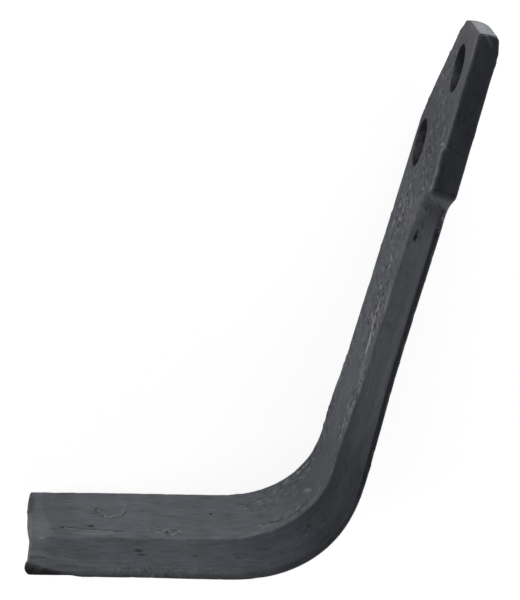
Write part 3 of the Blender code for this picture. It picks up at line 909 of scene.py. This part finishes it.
def wear_and_glint(place, depth, width, near_corner, crest, side, seams):
    """Thin, light paint on the worn lips and edges, and painted glints on lips, corner, step and leg's end.
    """
    crest_depth, crest_width = crest
    inner, bevel, on_front = side == INNER, side == BEVEL, side <= BEVEL
    field = grained(WEAR_GRAIN, place, width, depth)
    in_head = ramp(place, *WEAR_SPAN)
    from_corner = np.where(inner, crest_width - width, 2 * np.abs(depth - crest_depth))
    # A painted highlight along the head's inner corner
    head_corner_glint = slope(place, *HEAD_LINE_SLOPE) + HEAD_CORNER_GLINT * ramp(place, *HEAD_CORNER_SPAN)
    head_line = in_head * on_front * peak(from_corner, *HEAD_LINE_HUMP)
    ridge_line = (1 - in_head) * inner * peak(width - crest_width, *RIDGE_LINE_HUMP)
    chip = hump(depth, CHIP_LINE + place, CHIP_BREADTH) * ramp(place, *CHIP_SPAN)
    on_crest = inner | bevel & (depth < crest_depth + EDGE_ROUND)
    below_shoulder = place > SHOULDER_LENGTH - SHOULDER_HEIGHT
    layers = [
        head_corner_glint * head_line * ease(0.7 + field) + RIDGE_LINE_WEAR * ridge_line * ease(0.3 + 1.6 * field),
        CORNER_WEAR * near_corner * ease(field + 0.2) * (side != BEVEL) * (side != BLUNT),
        CHIP_WEAR * chip * bevel,
        SCAB_WEAR_AND_GLINT * scab_lip(place, width) * inner,
        # a painted highlight on the step's ledge
        STEP_GLINT * step_line(place, depth, STEP_GLINT_BELOW) * bevel,
        fleck_cover(place, width, FLECK_WEAR_AND_GLINT) * np.where(below_shoulder, on_front, on_crest),
        TIP_BAND_PAINTED_LIGHT * tip_band(place, depth, width, side),
    ]
    return np.maximum.reduce(layers + [lip_wear_and_glint * lip * inner for _, _, lip_wear_and_glint, lip, _ in seams])


def shade_and_dark_paint(place, depth, width, side, seams):
    """Darkest paint: painted shade in the pits, grooves, seams, step and by the scab, and the nose's worn
    chamfer.
    """
    on_edge = (side == BEVEL) | (side == BLUNT)
    on_facet = (place > -SHOULDER_HEIGHT) & (place < GROOVE_SHADE_REACH - SHOULDER_HEIGHT) & on_edge
    beside_scab = peak(scab_distance(place, width), *SCAB_SHADE_HUMP) * ramp(width, *SCAB_SHADE_SPAN)
    lumps = NOSE_DARK + grained(NOSE_DARK_GRAIN, place, width, depth)
    layers = [
        PIT_SHADE * ease(-pit_lift(place, width) / PIT_SHADE_DEPTH) * (side <= BEVEL),
        GROOVE_SHADE * peak(past_groove(place, depth), 0.0, GROOVE_SHADE_BREADTH) * on_facet,
        STEP_SHADE * step_line(place, depth, 0.0) * (side == BEVEL),
        FACET_SHADE * peak(place + SHOULDER_HEIGHT, *FACET_SHADE_HUMP) * on_edge,
        SCAB_SHADE * beside_scab * (side == INNER),
        lumps * nose_wear(place, depth + NOSE_DARK_REACH, width) * (side >= BLUNT),
    ]
    layers += [SEAM_SHADE * deep * (groove - lip) * (side == INNER) for _, deep, _, lip, groove in seams]
    return np.clip(np.maximum.reduce(layers), 0.0, 1.0)


def corner_share():
    """1 on the rounded corners of the section and 0 on its sides, for each point round it. The bevel's foot
    counts as a side."""
    shares = []
    for k, count in enumerate(SIDE_POINTS):
        shares += [float(k != BLUNT)] * CORNER_POINTS + [0.0] * count
    return np.array(shares)


def roughness(place, depth, width, side, on_end):
    """How rough the forged skin is, from 0 to about 1."""
    on_side = 1 - on_end
    on_bevel = (side == BEVEL) * (place > -SHOULDER_HEIGHT)
    zones = roughness_zone(place, width) * ((side == INNER) * on_side + BEVEL_ROUGHNESS * on_bevel * on_side)
    rough_edge = 0.0
    for rough, middle, reach in EDGE_ROUGHNESS:
        rough_edge = mix(rough_edge, rough, hump(place, middle, reach))
    patches = ease(0.35 + grained(OUTER_GRAIN, place, width, depth))
    return (zones + (side == BLUNT) * rough_edge + HEAD_END_ROUGHNESS * on_end * (place < 0)
            + OUTER_ROUGHNESS * patches * (side == OUTER) * on_side)


def skin():
    """The blade's skin as a grid: its points in the world, and the values that its paint reads."""
    places, insets, shares = loft_rows()
    outline, sides = section(places)
    flat_points = drawn_together(pulled_in(outline, insets), shares)
    depth, width = flat_points[..., 0], flat_points[..., 1]
    place = np.broadcast_to(places[:, None], depth.shape)
    bare = bar_to_world(slanted_place(place, depth, width), depth, width)

    along = np.gradient(bare, axis=0)
    around = np.roll(bare, -1, axis=1) - np.roll(bare, 1, axis=1)
    normal = np.cross(along, around)
    normal /= np.maximum(np.linalg.norm(normal, axis=-1, keepdims=True), 1e-9)

    crest_depth, crest_width = (line[:, None] for line in ridge(places))
    crest_width = crest_width + crest_wander(places)[:, None]
    foot = [line[:, None] for line in bevel_foot(places)]
    side = np.broadcast_to(sides, depth.shape)
    on_end = np.broadcast_to(shares[:, None] > 0, depth.shape) + 0.0
    on_inner = (side == INNER) * (1 - on_end)
    on_bevel = (side == BEVEL) * (1 - on_end)
    near_corner = corner_share() * np.ones_like(depth)
    rough = roughness(place, depth, width, side, on_end)
    seams = [(*seam[2:], *seam_profile(place, width, *seam[:2])) for seam in SEAMS]

    marks = pit_lift(place, width) * (on_inner + on_bevel)
    below_shoulder = place > SHOULDER_LENGTH - SHOULDER_HEIGHT
    marks += fleck_cover(place, width, FLECK_HEIGHT) * (on_inner + on_bevel * below_shoulder)
    marks += (ridge_lift(place, width, crest_width) + scab_lift(place, width)) * on_inner
    for height, deep, _, lip, groove in seams:
        marks += (height * lip - deep * groove) * on_inner
    rollover = ramp(place, TIP_PLACE - TIP_ROLLOVER_LENGTH, TIP_PLACE) ** 2
    marks -= TIP_ROLLOVER * (on_inner + on_bevel) * rollover
    marks -= NOSE_CHAMFER * nose_wear(place, depth, width) * (side >= BLUNT)
    nicks = EDGE_NICK * ease((grained(NICK_GRAIN, place, width, depth) - NICK_LEVEL) / NICK_BORDER)
    relief = sum(grained(grain, place, width, depth) for grain in FORGING_GRAINS) - near_corner * nicks
    relief += scale_lift(place, depth, width, np.maximum(rough, THIN_SCALE))
    head_side = ((side == BEVEL) | (side == BLUNT)) * head_share(place)
    inset = np.where(side >= OUTER, HIDDEN_INSET, SKIN_INSET)
    lift = marks + relief * (1 - CALM_HEAD_SIDE * head_side) - inset
    low, high = (np.array(corner) / MM for corner in CAD_BOX)
    points = np.clip(bare + lift[..., None] * normal, low, high)

    wear_and_glints = wear_and_glint(place, depth, width, near_corner, (crest_depth, crest_width), side, seams)
    # The head's end face is lightened with painted light
    end_light = HEAD_END_LIGHT * ramp(depth, *HEAD_END_LIGHT_SPAN) * slope(depth, *HEAD_END_LIGHT_SLOPE)
    values = {
        "bar": np.stack((place, width, depth), axis=-1),
        "tone_and_painted_light": tone_and_painted_light(place, depth, width, crest_width, foot, side, on_end),
        "rough": rough,
        "wear_and_glint": mix(wear_and_glints, end_light * (place < 0), on_end),
        "shade_and_dark_paint": shade_and_dark_paint(place, depth, width, side, seams),
    }
    return points, values


def grid_mesh(name, points, values):
    """A closed mesh over a grid of rows and rings, with a face across each end, and its named values."""
    rows, ring = points.shape[:2]
    index = np.arange(rows * ring).reshape(rows, ring)
    following = np.roll(index, -1, axis=1)
    quads = np.stack((index[:-1], index[1:], following[1:], following[:-1]), axis=-1).reshape(-1, 4)
    faces = quads.tolist()
    faces.append(index[0].tolist())
    faces.append(index[-1][::-1].tolist())
    mesh = bpy.data.meshes.new(name)
    mesh.from_pydata((points.reshape(-1, 3) * MM).tolist(), [], faces)
    for key, value in values.items():
        kind = "FLOAT_VECTOR" if value.shape[-1:] == (3,) and value.ndim == 3 else "FLOAT"
        attribute = mesh.attributes.new(key, kind, "POINT")
        field = "vector" if kind == "FLOAT_VECTOR" else "value"
        attribute.data.foreach_set(field, value.astype(np.float32).ravel())
    mesh.validate()
    mesh.shade_smooth()
    return mesh


def add_object(name, data):
    """A new object in the scene."""
    made = bpy.data.objects.new(name, data)
    bpy.context.scene.collection.objects.link(made)
    return made


def hole_cutter(height, width):
    """A round cutter square to the head, flared at both faces so that the hole's rims come out rounded."""
    radius = HOLE_DIAMETER / 2
    profile = [(-HOLE_OVERSHOOT, radius + HOLE_RIM + HOLE_OVERSHOOT)]
    for angle in np.linspace(0, math.pi / 2, HOLE_RIM_STEPS):
        profile.append((HOLE_RIM * math.sin(angle), radius + HOLE_RIM * (1 - math.sin(angle))))
    profile += [(THICKNESS - depth, reach) for depth, reach in reversed(profile)]
    depth, reach = np.array(profile).T[..., None]
    turn = -2 * math.pi * np.arange(HOLE_SEGMENTS) / HOLE_SEGMENTS
    points = (depth + 0 * turn, height + reach * np.cos(turn), width + reach * np.sin(turn))
    return add_object("hole_cutter", grid_mesh("hole_cutter", np.stack(points, axis=-1) - WORLD_CORNER, {}))


def cut_holes(piece, cutters):
    """Cuts the bolt holes and keeps the result as the piece's own mesh."""
    for cutter in cutters:
        cut = piece.modifiers.new(cutter.name, "BOOLEAN")
        cut.operation = "DIFFERENCE"
        cut.solver = "EXACT"
        cut.object = cutter
    evaluated = piece.evaluated_get(bpy.context.evaluated_depsgraph_get())
    mesh = bpy.data.meshes.new_from_object(evaluated)
    piece.modifiers.clear()
    piece.data = mesh
    for cutter in cutters:
        bpy.data.objects.remove(cutter)


def paint_holes(mesh):
    """Gives the holes' walls their paint's values: painted shade, darker towards both ends of each hole along
    the bar.
    """
    points = np.empty(len(mesh.vertices) * 3)
    mesh.vertices.foreach_get("co", points)
    depth, height, width = (points.reshape(-1, 3) / MM + WORLD_CORNER).T
    inside = np.zeros(len(depth), bool)
    dark = np.full(len(depth), HOLE_SHADE)
    for middle_height, middle_width in HOLE_MIDDLES:
        reach = np.hypot(height - middle_height, width - middle_width)
        here = reach < HOLE_DIAMETER / 2 + HOLE_RIM - 0.01
        rise = (height - middle_height) / (HOLE_DIAMETER / 2)
        at_ends = np.maximum(ease(0.8 * rise + 0.45), ease(-2.0 * rise - 0.9))
        dark = np.where(here, mix(HOLE_SHADE, HOLE_END_SHADE, at_ends), dark)
        inside |= here
    paint = {
        "bar": np.stack((-height, width, depth), axis=-1),
        "tone_and_painted_light": HOLE_WALL_SHADE + 0 * dark,
        "rough": HOLE_ROUGHNESS + 0 * dark,
        "wear_and_glint": 0 * dark,
        "shade_and_dark_paint": dark,
    }
    for key, hole_values in paint.items():
        field = "vector" if key == "bar" else "value"
        values = np.empty(hole_values.size)
        mesh.attributes[key].data.foreach_get(field, values)
        values = values.reshape(hole_values.shape)
        values[inside] = hole_values[inside]
        mesh.attributes[key].data.foreach_set(field, values.ravel())


def node(tree, kind, inputs=None, **settings):
    """Adds a node to a material. Inputs are values, or the sockets that feed them."""
    made = tree.nodes.new(kind)
    for key, value in settings.items():
        setattr(made, key, value)
    for key, value in (inputs or {}).items():
        if isinstance(value, bpy.types.NodeSocket):
            tree.links.new(value, made.inputs[key])
        else:
            made.inputs[key].default_value = value
    return made


def attribute(tree, name, output="Fac"):
    return node(tree, "ShaderNodeAttribute", attribute_name=name).outputs[output]


def maths(tree, operation, a, b, clamp=False):
    return node(tree, "ShaderNodeMath", {0: a, 1: b}, operation=operation, use_clamp=clamp).outputs[0]


def added(tree, a, b, clamp=False):
    return maths(tree, "ADD", a, b, clamp)


def times(tree, a, b):
    return maths(tree, "MULTIPLY", a, b)


def bar_noise(tree, length, breadth, detail, roughness):
    """Noise from 0 to 1 in the bar's own coordinates, drawn out along it."""
    scale = (1 / length, 1 / breadth, 1 / breadth)
    scaled = node(tree, "ShaderNodeVectorMath", {0: attribute(tree, "bar", "Vector"), 1: scale},
                  operation="MULTIPLY")
    noise = node(tree, "ShaderNodeTexNoise", {"Vector": scaled.outputs[0], "Scale": 1.0, "Detail": detail,
                                              "Roughness": roughness})
    return noise.outputs["Fac"]


def swayed(tree, noise, strength):
    """A noise's distance from its middle, times a strength."""
    return times(tree, maths(tree, "SUBTRACT", noise, 0.5), strength)


def blend(tree, first, second, share):
    made = node(tree, "ShaderNodeMix", data_type="RGBA")
    for socket, value in ((6, first), (7, second), (0, share)):
        if isinstance(value, bpy.types.NodeSocket):
            tree.links.new(value, made.inputs[socket])
        else:
            made.inputs[socket].default_value = value
    return made.outputs[2]


def threshold(tree, socket, start, end):
    """0 to 1 as a value goes from start to end."""
    made = node(tree, "ShaderNodeMapRange", {0: socket, 1: start, 2: end, 3: 0.0, 4: 1.0}, clamp=True)
    return made.outputs[0]


def painted_steel():
    """Matt charcoal paint over forged scale, drawn out along the bar, thin on its lips and edges."""
    material = bpy.data.materials.new("painted_forged_steel")
    material.use_nodes = True
    tree = material.node_tree
    shader = tree.nodes["Principled BSDF"]
    rough = attribute(tree, "rough")
    tone_and_light_level = attribute(tree, "tone_and_painted_light")
    noises = (bar_noise(tree, *sizes) for sizes in PAINT_NOISES)
    mottle, streaks, grain, flakes, hollows, strokes, hues = noises
    level = added(tree, 1.0, swayed(tree, mottle, MOTTLE_TONE))
    level = added(tree, level, swayed(tree, streaks, STREAK_TONE))
    for start, end, strength in STROKE_TONES:
        level = added(tree, level, times(tree, threshold(tree, strokes, start, end), strength))
    level = added(tree, level, times(tree, swayed(tree, grain, GRAIN_TONE), added(tree, rough, PLAIN_GRAIN)))
    level = times(tree, level, tone_and_light_level)
    plain = node(tree, "ShaderNodeVectorMath", {0: PAINT[:3], 3: level}, operation="SCALE").outputs[0]
    # Painted glints on the flakes and painted shade in the hollows of the rough scale
    light = times(tree, threshold(tree, flakes, *FLAKE_SPAN), times(tree, rough, FLAKE_GLINT))
    light = times(tree, light, maths(tree, "MINIMUM", tone_and_light_level, 1.0))
    dark = times(tree, threshold(tree, hollows, *HOLLOW_SPAN), times(tree, rough, HOLLOW_SHADE))
    place = node(tree, "ShaderNodeSeparateXYZ", {0: attribute(tree, "bar", "Vector")}).outputs[0]
    in_patches = times(tree, threshold(tree, place, *PATCH_PLACES), threshold(tree, tone_and_light_level, *PATCH_TONES))
    patches = blend(tree, STEEL_TINT, EARTH_TINT, threshold(tree, mottle, *PATCH_SPAN))
    tint = blend(tree, blend(tree, SHADE_TINT, WHITE, tone_and_light_level), patches, in_patches)
    hue = blend(tree, ROSE_TINT, MOSS_TINT, threshold(tree, hues, *HUE_SPAN))
    for layer in (tint, blend(tree, WHITE, hue, in_patches)):
        plain = node(tree, "ShaderNodeVectorMath", {0: plain, 1: layer}, operation="MULTIPLY").outputs[0]
    # Lighter for wear and painted glints, then darkest for painted shade and the nose's worn chamfer
    colour = blend(tree, plain, WORN_AND_GLINT, maths(tree, "MAXIMUM", light, attribute(tree, "wear_and_glint")))
    colour = blend(tree, colour, SHADE_AND_DARK_PAINT, maths(tree, "MAXIMUM", dark, attribute(tree, "shade_and_dark_paint")))
    tree.links.new(colour, shader.inputs["Base Color"])
    gloss = added(tree, ROUGHNESS, swayed(tree, grain, GRAIN_ROUGHNESS))
    gloss = added(tree, gloss, swayed(tree, mottle, MOTTLE_ROUGHNESS), clamp=True)
    tree.links.new(gloss, shader.inputs["Roughness"])
    shader.inputs["Specular IOR Level"].default_value = SPECULAR
    shader.inputs["Metallic"].default_value = 0.0
    relief = added(tree, times(tree, streaks, STREAK_BUMP), times(tree, grain, GRAIN_BUMP))
    flaked = times(tree, maths(tree, "SUBTRACT", light, dark), FLAKE_BUMP)
    bump = node(tree, "ShaderNodeBump", {"Height": added(tree, relief, flaked), "Strength": BUMP_STRENGTH,
                                         "Distance": BUMP_DISTANCE})
    tree.links.new(bump.outputs[0], shader.inputs["Normal"])
    return material


def pale_floor(height):
    """A plain floor under the blade, which keeps its shadow, with light that only the camera sees."""
    bpy.ops.mesh.primitive_plane_add(size=FLOOR_SIZE, location=(0, 0, height))
    floor = bpy.context.object
    floor.name = "floor"
    material = bpy.data.materials.new("pale_floor")
    material.use_nodes = True
    tree = material.node_tree
    tree.nodes.clear()
    diffuse = node(tree, "ShaderNodeBsdfDiffuse", {"Color": FLOOR_COLOUR})
    seen = node(tree, "ShaderNodeLightPath").outputs["Is Camera Ray"]
    glow = node(tree, "ShaderNodeEmission", {"Color": WHITE, "Strength": times(tree, seen, FLOOR_GLOW)})
    surface = node(tree, "ShaderNodeAddShader", {0: diffuse.outputs[0], 1: glow.outputs[0]})
    node(tree, "ShaderNodeOutputMaterial", {"Surface": surface.outputs[0]})
    floor.data.materials.append(material)


def pale_world():
    """A plain even sky: dim on the blade, white to the camera."""
    world = bpy.data.worlds.new("studio")
    bpy.context.scene.world = world
    world.use_nodes = True
    tree = world.node_tree
    seen = node(tree, "ShaderNodeLightPath").outputs["Is Camera Ray"]
    strength = maths(tree, "MAXIMUM", seen, WORLD_LIGHT)
    tree.links.new(strength, tree.nodes["Background"].inputs["Strength"])
    tree.nodes["Background"].inputs["Color"].default_value = WHITE


def place_camera():
    """The camera at the photograph's viewing angle."""
    turn = Vector(CAMERA_TURN)
    turn = Matrix.Rotation(turn.length, 3, turn).transposed()
    stand = turn @ Vector((-CAMERA_SIDEWAYS, -CAMERA_UP, CAMERA_DISTANCE)) - Vector(WORLD_CORNER)
    camera = add_object("camera", bpy.data.cameras.new("camera"))
    camera.matrix_world = Matrix.Translation(stand * MM) @ turn.to_4x4()
    camera.data.lens = CAMERA_LENS
    camera.data.sensor_width = SENSOR
    camera.data.clip_end = CLIP_END
    bpy.context.scene.camera = camera


def soft_light(name, azimuth, elevation, width, height, power):
    """A soft light that faces the blade. Its azimuth is counted from +X towards +Y."""
    turn, rise = math.radians(azimuth), math.radians(elevation)
    towards = Vector((math.cos(rise) * math.cos(turn), math.cos(rise) * math.sin(turn), math.sin(rise)))
    light = bpy.data.lights.new(name, "AREA")
    light.shape = "RECTANGLE"
    light.size = width
    light.size_y = height
    light.energy = power
    lamp = add_object(name, light)
    lamp.location = (Vector(CAD_BOX[0]) + Vector(CAD_BOX[1])) / 2 + towards * LAMP_DISTANCE
    lamp.rotation_mode = "QUATERNION"
    lamp.rotation_quaternion = towards.to_track_quat("Z", "Y")
    lamp.visible_camera = False


def make_blade():
    """The blade's skin with its bolt holes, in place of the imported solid."""
    points, values = skin()
    blade = add_object("forged_blade", grid_mesh("forged_blade", points, values))
    cut_holes(blade, [hole_cutter(height, width) for height, width in HOLE_MIDDLES])
    paint_holes(blade.data)
    blade.data.materials.clear()
    blade.data.materials.append(painted_steel())
    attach(blade, "root")
    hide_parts("tiller_blade")


make_blade()
place_camera()
pale_floor(CAD_BOX[0].z)
pale_world()
for name, sizes in LAMPS.items():
    soft_light(name, *sizes)
bpy.context.scene.view_settings.view_transform = "Standard"
